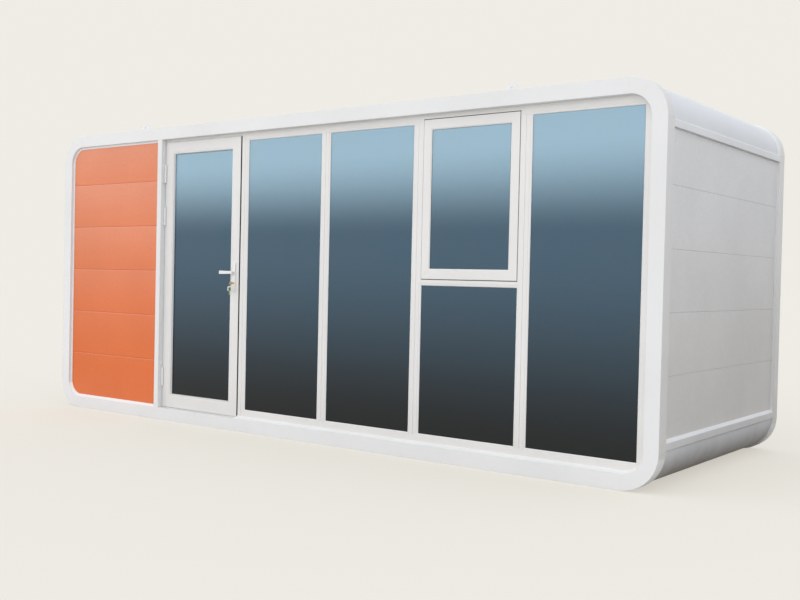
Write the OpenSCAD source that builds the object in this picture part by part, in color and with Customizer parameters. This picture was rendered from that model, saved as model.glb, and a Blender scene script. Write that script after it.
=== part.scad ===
// Container cabin: two rounded steel hoops joined by curved corner shells, with insulated
// wall boards, a glazed front and a hinged glass door.
// Millimetres. X runs along the length, the glazed front faces -Y and Z is up.
// The origin is on the ground, below the middle of the cabin.

/* [Cabin] */
// Overall length
cabin_l = 5900; // [5500:10:6600]
// Overall width, from the front face to the back face
cabin_w = 2260; // [1900:10:2600]
// Height of the hoops, without the lifting lugs
cabin_h = 2495; // [2400:5:2800]
// Outer radius of the rounded corners
corner_r = 250; // [220:5:320]

/* [Hoops] */
// Width of a hoop's face
hoop_face = 101; // [98:1:130]
// Depth of a hoop from front to back
hoop_depth = 105; // [102:1:140]

/* [Shell] */
// How far the corner shells, the roof and the pan lie inside the hoops' outer faces
shell_recess = 12; // [4:1:25]
// Distance from the hoops' outer faces to the inner lining
lining_depth = 97; // [85:1:98]
// Height of the rails above and below the end walls
rail_h = 50; // [30:1:90]
// Radius of the rails' edges beside the corner shells
rail_edge = 11; // [3:0.5:11]
// Thickness of the floor deck
deck_t = 20; // [12:1:40]

/* [Wall boards] */
// Height of one board
board_h = 385; // [250:5:500]
// Height of the lowest board of the front and the back
first_board_h = 405; // [250:1:500]
// Height of the lowest board of the ends
end_first_h = 398; // [250:1:500]
// How far the boards of the ends and the back lie behind the hoops' faces
board_recess = 20; // [8:1:40]
// How far the coloured front boards lie behind the front hoop's face
panel_recess = 25; // [10:1:40]
// Width of the coloured front panel
panel_w = 1220; // [800:10:1400]
// Width of the groove between two boards
groove_w = 4; // [2:0.5:12]
// Depth of the groove between two boards
groove_d = 4; // [1:0.5:8]
// Width of the edge trim around the front and back boards
trim_w = 20; // [10:1:40]
// Thickness of the edge trim
trim_t = 3; // [1:0.5:6]
// Height of the sloping flashing below the end boards
flashing_h = 22; // [10:1:40]
// Height of the flashing's front lip
flashing_lip = 3; // [1:0.5:8]

/* [Glazing] */
// Width of the post between the coloured panel and the door
post_w = 54; // [30:1:90]
// How far the glazing frame lies behind the front hoop's face
glaze_recess = 50; // [30:1:60]
// Width of the mullion that the door closes beside
door_mullion_w = 74; // [50:1:110]
// Width of the other mullions
mullion_w = 84; // [50:1:120]
// Width of the jamb beside the right hoop
jamb_w = 59; // [30:1:90]
// Height of the head over the fixed lights
head_h = 60; // [40:1:90]
// Height of the head over the opening sash
sash_head_h = 30; // [15:1:38]
// Height of the sill's face
sill_h = 55; // [30:1:90]
// Width of the beads around the glass
bead_w = 12; // [6:1:20]
// How far the beads are set back from the faces of their frames
bead_set = 2; // [1:0.5:5]
// Width and depth of the joint line down the middle of a mullion
joint_line = 3; // [1:0.5:6]
// How far the glass lies behind the frame that holds it
glass_set = 7; // [6:1:20]
// Thickness of the double glass
glass_t = 20; // [8:1:28]

/* [Opening sash] */
// Which light holds the sash, counted from the door
sash_bay = 3; // [1:1:4]
// Height of the transom's underside above the ground
transom_z = 1213; // [900:1:1500]
// Height of the transom
transom_h = 36; // [25:1:60]
// Face width of the sash's stiles
sash_face = 64; // [40:1:80]
// Face height of the sash's rails
sash_rail_h = 68; // [40:1:90]
// How far the sash stands proud of the glazing frame
sash_proud = 3; // [0:1:18]
// Width of the step around the sash's glass
sash_bead_w = 4; // [2:0.5:12]
// Gap at the sides of the sash
sash_side_gap = 5; // [2:0.5:9]
// Gap above and below the sash
sash_end_gap = 6; // [4:0.5:12]
// Length of the stays that carry the sash
stay_l = 320; // [150:10:500]
// Width of the stays
stay_w = 18; // [8:1:24]
// Distance from the frame's back to the stays' front edges
stay_inset = 36; // [24:1:44]

/* [Door] */
// Clear width between the door post and the door mullion
doorway_w = 927; // [800:1:1100]
// How far the door leaf lies behind the front hoop's face
leaf_recess = 45; // [43:1:50]
// Thickness of the door leaf
leaf_t = 50; // [40:1:54]
// Gap between the door post and the leaf
hinge_gap = 8; // [7:0.5:11]
// Gap between the leaf and the door mullion
lock_gap = 10; // [8:0.5:16]
// Gap below the leaf
foot_gap = 8; // [6:0.5:14]
// Gap above the leaf
top_gap = 5; // [4:0.5:14]
// Height of the head over the door
door_head_h = 20; // [10:1:40]
// Face width of the door's stiles and top rail
stile_w = 96; // [80:1:120]
// Height of the door's bottom rail
kick_h = 110; // [80:1:250]
// How far the door's glass lies behind the leaf's face
leaf_glass_set = 20; // [6:1:24]
// How far the stops overlap the leaf
stop_lap = 14; // [10:1:30]
// Thickness of the stops
stop_t = 12; // [6:1:20]
// Width of the stops on the frame's back
stop_seat = 24; // [12:1:40]

/* [Door hinges] */
// Length of a hinge
hinge_l = 155; // [100:1:220]
// Height of the middle knuckle
knuckle_l = 74; // [40:1:90]
// Radius of the knuckles
knuckle_r = 9; // [7:0.5:12]
// Radius of the hinge pin
pin_r = 5; // [3:0.5:6]
// Thickness of the hinge flaps
flap_t = 3; // [2:0.5:5]
// Width of the flap on the post
flap_w = 32; // [24:1:45]
// Reach of the web on the leaf's face past the hinge axis
web_reach = 3; // [0:0.5:8]
// Height of the lowest hinge's centre above the leaf's foot
low_hinge = 257; // [150:1:500]
// Distance of the top hinge's centre below the leaf's top
top_hinge = 265; // [150:1:500]
// Distance between the two upper hinges' centres
hinge_pair = 363; // [250:1:700]
// Radial running clearance of the pins and the spindle
run = 0.05; // [0.02:0.01:0.1]
// Clearance around the spindle inside the leaf
spindle_clear = 1; // [0.5:0.1:2]
// Free space between the knuckles
knuckle_gap = 0.5; // [0.3:0.1:1]

/* [Lever and lock] */
// Height of the lever's spindle above the ground
spindle_z = 1272; // [1000:1:1400]
// Distance of the spindle from the leaf's free edge
spindle_inset = 48; // [35:1:60]
// Radius of the spindle and the lever's neck
spindle_r = 9; // [6:0.5:11]
// Length of the lever, from the spindle to its tip
lever_l = 138; // [90:1:180]
// Height of the lever's bar at its neck
lever_h = 22; // [14:1:24]
// Height of the lever's bar at its tip
grip_h = 28; // [24:1:32]
// Cut across the corners of the lever's tip
tip_cut = 7; // [3:0.5:10]
// Radius of the lever's boss on the spindle
boss_r = 13; // [11:0.5:16]
// Thickness of the lever's bar
lever_t = 13; // [8:1:16]
// Clear space between the back plate and the lever's bar
lever_reach = 20; // [15:1:22]
// Width of the back plates
plate_w = 32; // [26:1:44]
// Corner radius of the back plates
plate_r = 8; // [2:0.5:12]
// Height of the back plates
plate_h = 230; // [180:1:300]
// Thickness of the back plates
plate_t = 11; // [4:1:11]
// Height of the back plate above the spindle
plate_top = 82; // [50:1:120]
// Distance of the lock cylinder below the spindle
cylinder_drop = 86; // [60:1:110]
// Radius of the lock cylinder
cylinder_r = 8.5; // [6:0.5:10]
// How far the lock cylinder stands out of the back plates
cylinder_out = 4; // [2:0.5:8]

/* [Lifting lugs] */
// Distance of the lugs from the cabin's ends
lug_inset = 1095; // [500:5:1800]
// Radius of a lug's rounded top
lug_r = 40; // [30:1:60]
// Height of the lug's eye above the hoop
eye_h = 16; // [15:1:40]
// Radius of the eye
eye_r = 13; // [8:0.5:14]
// Thickness of a lug
lug_t = 10; // [6:1:20]

/* [Hidden] */
$fn = 64;
cut = 1;

white = [0.91, 0.91, 0.9];
frame_white = [0.89, 0.89, 0.87];
orange = [0.88, 0.47, 0.28];
glass_blue = [0.35, 0.48, 0.58, 0.6];
steel = [0.75, 0.75, 0.76];
brass = [0.75, 0.6, 0.3];
deck_grey = [0.5, 0.47, 0.43];

// Main planes
half_l = cabin_l / 2;
front_y = -cabin_w / 2;
back_y = cabin_w / 2;
shell_y = front_y + hoop_depth;
shell_d = cabin_w - 2 * hoop_depth;
straight_l = cabin_l - 2 * corner_r;
straight_h = cabin_h - 2 * corner_r;
inner_x = half_l - hoop_face;
inner_z0 = hoop_face;
inner_z1 = cabin_h - hoop_face;

// Stations along the front, from left to right
post_x = -inner_x + panel_w;
doorway_x = post_x + post_w;
door_mullion_x = doorway_x + doorway_w;
lights_x = door_mullion_x + door_mullion_w;
jamb_x = inner_x - jamb_w;
lights = 4;
light_w = (jamb_x - lights_x - (lights - 1) * mullion_w) / lights;
light_z0 = inner_z0 + sill_h + bead_w;
light_z1 = inner_z1 - head_h;
glaze_y = front_y + glaze_recess;
glaze_d = hoop_depth - glaze_recess;
glass_y = glaze_y + glass_set;
function light_x(bay) = lights_x + (bay - 1) * (light_w + mullion_w);

// Opening sash
sash_x = light_x(sash_bay) + sash_side_gap;
sash_w = light_w - 2 * sash_side_gap;
sash_z0 = transom_z + transom_h + sash_end_gap;
sash_z1 = inner_z1 - sash_head_h - sash_end_gap;
sash_y = glaze_y - sash_proud;
sash_outline = [sash_x, sash_z0, sash_x + sash_w, sash_z1];
sash_light = [sash_x + sash_face, sash_z0 + sash_rail_h, sash_x + sash_w - sash_face, sash_z1 - sash_rail_h];

// Door leaf and its hinge axis
leaf_x = doorway_x + hinge_gap;
leaf_w = doorway_w - hinge_gap - lock_gap;
leaf_z0 = inner_z0 + foot_gap;
leaf_z1 = inner_z1 - door_head_h - top_gap;
leaf_y = front_y + leaf_recess;
leaf_back = leaf_y + leaf_t;
pane_z0 = leaf_z0 + kick_h;
pane_z1 = leaf_z1 - stile_w;
leaf_outline = [leaf_x, leaf_z0, leaf_x + leaf_w, leaf_z1];
leaf_light = [leaf_x + stile_w, pane_z0, leaf_x + leaf_w - stile_w, pane_z1];
axis_x = doorway_x + flap_t + knuckle_r + knuckle_gap;
axis_y = leaf_y - knuckle_r - knuckle_gap;
hinge_z = [leaf_z0 + low_hinge, leaf_z1 - top_hinge - hinge_pair, leaf_z1 - top_hinge];
spindle_x = leaf_x + leaf_w - spindle_inset;
cylinder_z = spindle_z - cylinder_drop;

// Pushes an outline drawn in X and Z from the plane y over a depth towards the back
module upright(y, depth) {
    translate([0, y + depth, 0]) rotate([90, 0, 0]) linear_extrude(depth) children();
}

// Rounded rectangle from its lowest corner
module rounded(size, r) {
    translate([r, 0]) square([size[0] - 2 * r, size[1]]);
    translate([0, r]) square([size[0], size[1] - 2 * r]);
    for (x = [r, size[0] - r], z = [r, size[1] - r]) translate([x, z]) circle(r);
}

// Rectangle from its left, lower, right and upper edges, grown by a margin
module sides(edges, margin = 0) {
    translate([edges[0] - margin, edges[1] - margin])
        square([edges[2] - edges[0] + 2 * margin, edges[3] - edges[1] + 2 * margin]);
}

// Two uprights of a mitred frame between its outline and its light
module mitred_stiles(outline, light) {
    for (k = [0, 2])
        polygon([[outline[k], outline[1]], [light[k], light[1]], [light[k], light[3]], [outline[k], outline[3]]]);
}

// Two rails of a mitred frame between its outline and its light
module mitred_rails(outline, light) {
    for (k = [1, 3])
        polygon([[outline[0], outline[k]], [outline[2], outline[k]], [light[2], light[k]], [light[0], light[k]]]);
}

// Cuts the step for the bead around a light into a frame whose face is at y
module beaded(y, light, width) {
    difference() {
        children();
        upright(y - cut, bead_set + cut) sides(light, width);
    }
}

// Outline of a hoop's opening, drawn in by inset
module opening_outline(inset = 0) {
    translate([-inner_x + inset, inner_z0 + inset])
        rounded([2 * (inner_x - inset), inner_z1 - inner_z0 - 2 * inset], corner_r - hoop_face - inset);
}

// Quarter ring in the corner on side sx and sz
module quarter_ring(r_out, r_in, sx, sz) {
    translate([sx * (half_l - corner_r), sz > 0 ? cabin_h - corner_r : corner_r])
        intersection() {
            difference() { circle(r_out, $fn = 128); circle(r_in, $fn = 128); }
            translate([sx > 0 ? 0 : -r_out, sz > 0 ? 0 : -r_out]) square(r_out);
        }
}

module hoop_beam(y, z) {
    color(white) translate([-straight_l / 2, y, z]) cube([straight_l, hoop_depth, hoop_face]);
}

module hoop_posts(y) {
    color(white) for (x = [-half_l, inner_x])
        translate([x, y, corner_r]) cube([hoop_face, hoop_depth, straight_h]);
}

module hoop_corners(y) {
    color(white) for (sx = [-1, 1], sz = [-1, 1])
        upright(y, hoop_depth) quarter_ring(corner_r, corner_r - hoop_face, sx, sz);
}

module corner_shells(sz) {
    color(white) for (sx = [-1, 1]) upright(shell_y, shell_d)
        quarter_ring(corner_r - shell_recess, corner_r - lining_depth, sx, sz);
}

module roof_panel() {
    color(white) translate([-straight_l / 2, shell_y, cabin_h - lining_depth])
        cube([straight_l, shell_d, lining_depth - shell_recess]);
}

module underfloor_pan() {
    color(white) translate([-straight_l / 2, shell_y, shell_recess])
        cube([straight_l, shell_d, lining_depth - shell_recess - deck_t]);
}

module floor_deck() {
    color(deck_grey) translate([-straight_l / 2, shell_y, lining_depth - deck_t])
        cube([straight_l, shell_d, deck_t]);
}

// End walls, drawn on the right and mirrored to the left
module on_side(sx) {
    mirror([sx < 0 ? 1 : 0, 0, 0]) children();
}

// Section of an upper end rail, with a rounded upper edge at its face
module rail_section() {
    square([lining_depth, rail_h - rail_edge]);
    square([lining_depth - rail_edge, rail_h]);
    translate([lining_depth - rail_edge, rail_h - rail_edge]) circle(rail_edge);
}

module end_rails() {
    color(white) for (sx = [-1, 1]) on_side(sx) upright(shell_y, shell_d) {
        translate([half_l - lining_depth, cabin_h - corner_r - rail_h]) rail_section();
        translate([half_l - lining_depth, corner_r + rail_h]) mirror([0, 1]) rail_section();
    }
}

module end_boards(sx) {
    z0 = corner_r + rail_h;
    z1 = cabin_h - corner_r - rail_h;
    face_x = half_l - board_recess;
    color(white) on_side(sx) difference() {
        translate([half_l - lining_depth, shell_y, z0]) cube([lining_depth - board_recess, shell_d, z1 - z0]);
        for (z = [z0 + end_first_h : board_h : z1 - board_h / 2])
            translate([face_x - groove_d, shell_y - cut, z - groove_w / 2])
                cube([groove_d + cut, shell_d + 2 * cut, groove_w]);
    }
}

module end_sill_flashings() {
    face_x = half_l - board_recess;
    rail_z = corner_r + rail_h;
    color(white) for (sx = [-1, 1]) on_side(sx) upright(shell_y, shell_d)
        polygon([[face_x, rail_z], [half_l, rail_z], [half_l, rail_z + flashing_lip], [face_x, rail_z + flashing_h]]);
}

// Grooves between boards on an upright face at y, cut towards the inside of the wall
module seams(y) {
    for (z = [inner_z0 + first_board_h : board_h : inner_z1 - board_h / 2])
        translate([-cabin_l, y, z - groove_w / 2]) cube([2 * cabin_l, groove_d + cut, groove_w]);
}

module back_wall_boards() {
    color(white) difference() {
        upright(back_y - lining_depth, lining_depth - board_recess) opening_outline();
        seams(back_y - board_recess - groove_d);
    }
}

module back_wall_trim() {
    color(white) upright(back_y - board_recess, trim_t) difference() {
        opening_outline();
        opening_outline(trim_w);
    }
}

// Part of the front hoop's opening that the coloured panel fills, drawn in by inset
module panel_outline(inset = 0) {
    intersection() {
        opening_outline(inset);
        translate([-inner_x, 0]) square([panel_w - inset, cabin_h]);
    }
}

module front_wall_boards() {
    y = front_y + panel_recess;
    color(orange) difference() {
        upright(y, lining_depth - panel_recess) panel_outline();
        seams(y - cut);
    }
}

module front_wall_trim() {
    color(white) upright(front_y + panel_recess - trim_t, trim_t) difference() {
        panel_outline();
        panel_outline(trim_w);
    }
}

module door_post() {
    color(white) translate([post_x, front_y, inner_z0]) cube([post_w, hoop_depth, inner_z1 - inner_z0]);
}

module door_head() {
    color(frame_white) translate([doorway_x, glaze_y, inner_z1 - door_head_h])
        cube([doorway_w, glaze_d, door_head_h]);
}

// Upright frame member with a joint line down the middle of its face
module mullion(x, w, z0, z1) {
    difference() {
        translate([x, glaze_y, z0]) cube([w, glaze_d, z1 - z0]);
        translate([x + (w - joint_line) / 2, glaze_y - cut, z0 - cut])
            cube([joint_line, joint_line + cut, z1 - z0 + 2 * cut]);
    }
}

// Edges of a fixed light
function fixed_light(bay) =
    [light_x(bay), light_z0, light_x(bay) + light_w, bay == sash_bay ? transom_z : light_z1];

// Cuts the steps for the beads around the fixed lights
module beaded_lights() {
    difference() {
        children();
        for (bay = [1 : lights]) upright(glaze_y - cut, bead_set + cut) sides(fixed_light(bay), bead_w);
    }
}

module door_mullion() {
    color(frame_white) beaded_lights() mullion(door_mullion_x, door_mullion_w, inner_z0, inner_z1);
}

module glazing_mullions() {
    color(frame_white) beaded_lights() for (bay = [1 : lights - 1])
        mullion(light_x(bay) + light_w, mullion_w, light_z0, light_z1);
}

// Keeps what lies inside the front hoop's rounded opening
module inside_hoop() {
    intersection() {
        children();
        upright(glaze_y - cut, glaze_d + 2 * cut) opening_outline();
    }
}

module right_jamb() {
    color(frame_white) inside_hoop() beaded_lights()
        translate([jamb_x, glaze_y, light_z0]) cube([jamb_w, glaze_d, light_z1 - light_z0]);
}

module glazing_head() {
    color(frame_white) inside_hoop() beaded_lights() difference() {
        translate([lights_x, glaze_y, light_z1]) cube([inner_x - lights_x, glaze_d, head_h]);
        translate([light_x(sash_bay), glaze_y - cut, light_z1 - cut])
            cube([light_w, glaze_d + 2 * cut, head_h - sash_head_h + cut]);
    }
}

module glazing_sill() {
    color(frame_white) inside_hoop() beaded_lights()
        translate([lights_x, glaze_y, inner_z0]) cube([inner_x - lights_x, glaze_d, light_z0 - inner_z0]);
}

module transom() {
    color(frame_white) beaded_lights()
        translate([light_x(sash_bay), glaze_y, transom_z]) cube([light_w, glaze_d, transom_h]);
}

module fixed_glass() {
    color(glass_blue) for (bay = [1 : lights]) upright(glass_y, glass_t) sides(fixed_light(bay));
}

module sash_stiles() {
    color(frame_white) beaded(sash_y, sash_light, sash_bead_w)
        upright(sash_y, glaze_d + sash_proud) mitred_stiles(sash_outline, sash_light);
}

module sash_rails() {
    color(frame_white) beaded(sash_y, sash_light, sash_bead_w)
        upright(sash_y, glaze_d + sash_proud) mitred_rails(sash_outline, sash_light);
}

module sash_glass() {
    color(glass_blue) upright(sash_y + glass_set, glass_t) sides(sash_light);
}

module sash_stays() {
    color(steel) for (x = [sash_x - sash_side_gap, sash_x + sash_w])
        translate([x, shell_y - stay_inset, sash_z1 - stay_l]) cube([sash_side_gap, stay_w, stay_l]);
}

module door_jamb_stops() {
    color(frame_white) for (x = [doorway_x - stop_seat, door_mullion_x - lock_gap - stop_lap])
        translate([x, shell_y, inner_z0])
            cube([stop_seat + stop_lap + (x < leaf_x ? hinge_gap : lock_gap), stop_t, inner_z1 - inner_z0]);
}

module door_head_stop() {
    x0 = leaf_x + stop_lap;
    x1 = leaf_x + leaf_w - stop_lap;
    z0 = leaf_z1 - stop_lap;
    color(frame_white) translate([x0, shell_y, z0]) cube([x1 - x0, stop_t, inner_z1 - z0]);
}

// Fixed half of a hinge: flap on the post's side, two outer knuckles and the pin
module fixed_hinge() {
    end_l = (hinge_l - knuckle_l) / 2;
    translate([doorway_x - axis_x, -flap_w + knuckle_r, -hinge_l / 2]) cube([flap_t, flap_w, hinge_l]);
    for (z = [-hinge_l / 2, knuckle_l / 2]) translate([0, 0, z]) {
        cylinder(r = knuckle_r, h = end_l);
        translate([doorway_x - axis_x, 0, 0]) cube([axis_x - doorway_x, knuckle_r, end_l]);
    }
    translate([0, 0, -hinge_l / 2]) cylinder(r = pin_r, h = hinge_l);
}

// Moving half of a hinge: middle knuckle and the web behind it that sits on the leaf's face
module moving_hinge() {
    h = knuckle_l - 2 * knuckle_gap;
    difference() {
        union() {
            translate([0, 0, -h / 2]) cylinder(r = knuckle_r, h = h);
            translate([leaf_x - axis_x, 0, -h / 2]) cube([axis_x + web_reach - leaf_x, leaf_y - axis_y, h]);
        }
        translate([0, 0, -h / 2 - cut]) cylinder(r = pin_r + run, h = h + 2 * cut);
    }
}

module frame_hinges() {
    color(white) for (z = hinge_z) translate([axis_x, axis_y, z]) fixed_hinge();
}

module door_hinges() {
    color(white) for (z = hinge_z) translate([axis_x, axis_y, z]) moving_hinge();
}

// Round hole along Y through the leaf and its plates
module cross_hole(z, r) {
    translate([spindle_x, front_y, z]) rotate([-90, 0, 0]) cylinder(r = r, h = 2 * hoop_depth);
}

module door_stiles() {
    color(frame_white) beaded(leaf_y, leaf_light, bead_w) difference() {
        upright(leaf_y, leaf_t) mitred_stiles(leaf_outline, leaf_light);
        cross_hole(spindle_z, spindle_r + spindle_clear);
        cross_hole(cylinder_z, cylinder_r + run);
    }
}

module door_rails() {
    color(frame_white) beaded(leaf_y, leaf_light, bead_w)
        upright(leaf_y, leaf_t) mitred_rails(leaf_outline, leaf_light);
}

module door_glass() {
    color(glass_blue) upright(leaf_y + leaf_glass_set, glass_t) sides(leaf_light);
}

module handle_plates() {
    color(white) difference() {
        for (y = [leaf_y - plate_t, leaf_back]) upright(y, plate_t)
            translate([spindle_x - plate_w / 2, spindle_z + plate_top - plate_h])
                rounded([plate_w, plate_h], plate_r);
        cross_hole(spindle_z, spindle_r + run);
        cross_hole(cylinder_z, cylinder_r + run);
    }
}

module lock_cylinder() {
    out = plate_t + cylinder_out;
    color(brass) translate([spindle_x, leaf_y - out, cylinder_z]) rotate([-90, 0, 0])
        cylinder(r = cylinder_r, h = leaf_t + 2 * out);
}

// Lever bar with a round boss on the spindle, widening to a tip with cut corners
module lever_bar(y) {
    neck = lever_h / 2;
    grip = grip_h / 2;
    upright(y, lever_t) translate([spindle_x, spindle_z]) {
        circle(boss_r);
        polygon([
            [0, neck], [tip_cut - lever_l, grip], [-lever_l, grip - tip_cut],
            [-lever_l, tip_cut - grip], [tip_cut - lever_l, -grip], [0, -neck]
        ]);
    }
}

module lever_handle() {
    out = plate_t + lever_reach + lever_t;
    color(white) {
        translate([spindle_x, leaf_y - out + lever_t / 2, spindle_z]) rotate([-90, 0, 0])
            cylinder(r = spindle_r, h = leaf_t + 2 * out - lever_t);
        lever_bar(leaf_y - out);
        lever_bar(leaf_back + out - lever_t);
    }
}

module lifting_lugs() {
    color(white) for (x = [-half_l + lug_inset, half_l - lug_inset], y = [front_y, back_y - hoop_depth])
        translate([x, 0, cabin_h]) upright(y + (hoop_depth - lug_t) / 2, lug_t) difference() {
            union() {
                translate([-lug_r, 0]) square([2 * lug_r, eye_h]);
                intersection() {
                    translate([0, eye_h]) circle(lug_r);
                    translate([-lug_r, 0]) square([2 * lug_r, eye_h + lug_r]);
                }
            }
            translate([0, eye_h]) circle(eye_r);
        }
}

hoop_beam(front_y, cabin_h - hoop_face);  // front_top_beam
hoop_beam(front_y, 0);  // front_bottom_beam
hoop_posts(front_y);  // front_posts
hoop_corners(front_y);  // front_corner_pieces
hoop_beam(back_y - hoop_depth, cabin_h - hoop_face);  // back_top_beam
hoop_beam(back_y - hoop_depth, 0);  // back_bottom_beam
hoop_posts(back_y - hoop_depth);  // back_posts
hoop_corners(back_y - hoop_depth);  // back_corner_pieces
corner_shells(1);  // top_corner_shells
corner_shells(-1);  // bottom_corner_shells
roof_panel();
underfloor_pan();
floor_deck();
end_rails();
end_boards(-1);  // left_end_boards
end_boards(1);  // right_end_boards
end_sill_flashings();
back_wall_boards();
back_wall_trim();
front_wall_boards();
front_wall_trim();
door_post();
door_head();
door_mullion();
door_jamb_stops();
door_head_stop();
glazing_head();
glazing_sill();
glazing_mullions();
right_jamb();
transom();
fixed_glass();
sash_stiles();
sash_rails();
sash_glass();
sash_stays();
frame_hinges();
lifting_lugs();
door_stiles();
door_rails();
door_glass();
door_hinges();
handle_plates();
lock_cylinder();
lever_handle();
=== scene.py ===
"""Dresses the container cabin: hoops and shells, boards, a glazed front and a glass door.

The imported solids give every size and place. Each solid gets a copy with eased edges, except the panes,
which stay as they are. Thin trim, such as glazing beads, gaskets and weld beads, is modelled on top.
"""

import logging
import math
from dataclasses import dataclass, replace
from enum import Enum
from typing import Callable, Iterable, Optional, Sequence

import bmesh
import bpy
from bmesh.types import BMEdge, BMesh, BMFace, BMVert
from mathutils import Matrix, Vector


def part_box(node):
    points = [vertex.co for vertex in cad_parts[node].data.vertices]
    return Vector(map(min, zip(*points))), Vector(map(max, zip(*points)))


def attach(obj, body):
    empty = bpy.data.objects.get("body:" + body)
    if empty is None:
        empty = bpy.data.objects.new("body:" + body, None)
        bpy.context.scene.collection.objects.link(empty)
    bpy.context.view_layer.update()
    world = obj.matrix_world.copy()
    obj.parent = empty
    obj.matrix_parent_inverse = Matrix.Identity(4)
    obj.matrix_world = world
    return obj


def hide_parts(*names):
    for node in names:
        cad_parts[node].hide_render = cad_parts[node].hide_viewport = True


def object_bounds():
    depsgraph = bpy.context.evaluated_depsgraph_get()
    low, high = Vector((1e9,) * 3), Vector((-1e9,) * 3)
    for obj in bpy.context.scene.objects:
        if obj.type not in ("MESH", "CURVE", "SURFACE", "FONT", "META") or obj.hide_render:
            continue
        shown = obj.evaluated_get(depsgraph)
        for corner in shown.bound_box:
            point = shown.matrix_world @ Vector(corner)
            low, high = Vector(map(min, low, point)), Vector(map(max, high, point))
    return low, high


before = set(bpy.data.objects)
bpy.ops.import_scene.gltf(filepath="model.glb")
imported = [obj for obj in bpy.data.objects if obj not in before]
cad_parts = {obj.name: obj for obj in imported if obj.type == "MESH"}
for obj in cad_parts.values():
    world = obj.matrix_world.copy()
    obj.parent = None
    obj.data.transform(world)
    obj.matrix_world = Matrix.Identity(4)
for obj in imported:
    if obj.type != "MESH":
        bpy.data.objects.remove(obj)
cad_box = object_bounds()
log = logging.getLogger("cabin")

Colour = tuple[float, float, float]
Node = bpy.types.Node
Socket = bpy.types.NodeSocket

IMAGE_WIDTH = 800
SENSOR_WIDTH = 36.0
MERGE = 1e-5
NEAR = 1e-4
LEVEL = 0.99
FACING = 0.9
FLAT_ANGLE = math.radians(0.4)
SHARP_ANGLE = math.radians(35)
QUARTER_TURN = math.pi / 2
FULL_TURN = 2 * math.pi
WELD_STEPS, FINE_STEPS, ROUND_STEPS, WIDE_STEPS = 1, 2, 3, 4
WHITE: Colour = (1.0, 1.0, 1.0)
# Colour of ground dust; several finishes also lay it on as painted shade near the ground.
DUST_AND_SHADE: Colour = (0.42, 0.37, 0.31)


class Body(Enum):
    """Rigid bodies of the cabin."""

    CABIN = "cabin"
    DOOR = "door"
    LEVER = "lever"


class Slot(Enum):
    """Names of the material slots; the pieces in this script take their finishes directly and don't read
    these.
    """

    HOOP = "hoop_paint"
    SHELL = "shell_paint"
    WHITE_BOARD = "white_board"
    ORANGE_BOARD = "orange_board"
    TRIM = "trim_paint"
    FRAME = "frame_coat"
    FLOOR = "floor_board"
    HARDWARE = "hardware_coat"
    STEEL = "stay_steel"
    BRASS = "lock_brass"


@dataclass(frozen=True)
class Rect:
    """Upright rectangle in X and Z, in metres."""

    x0: float
    x1: float
    z0: float
    z1: float

    def inset(self, sides: float, foot: Optional[float] = None, head: Optional[float] = None) -> "Rect":
        """Draws the rectangle in.

        Args:
            sides: distance at the left and right, and at the foot and head unless they are given.
            foot: distance at the foot.
            head: distance at the head.

        Returns:
            The smaller rectangle.
        """
        foot = sides if foot is None else foot
        head = sides if head is None else head
        return Rect(self.x0 + sides, self.x1 - sides, self.z0 + foot, self.z1 - head)

    def corners(self, y: float) -> list[Vector]:
        """Lists the four corners on the plane y, anticlockwise seen from the front."""
        return [
            Vector((self.x0, y, self.z0)),
            Vector((self.x1, y, self.z0)),
            Vector((self.x1, y, self.z1)),
            Vector((self.x0, y, self.z1)),
        ]


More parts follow.
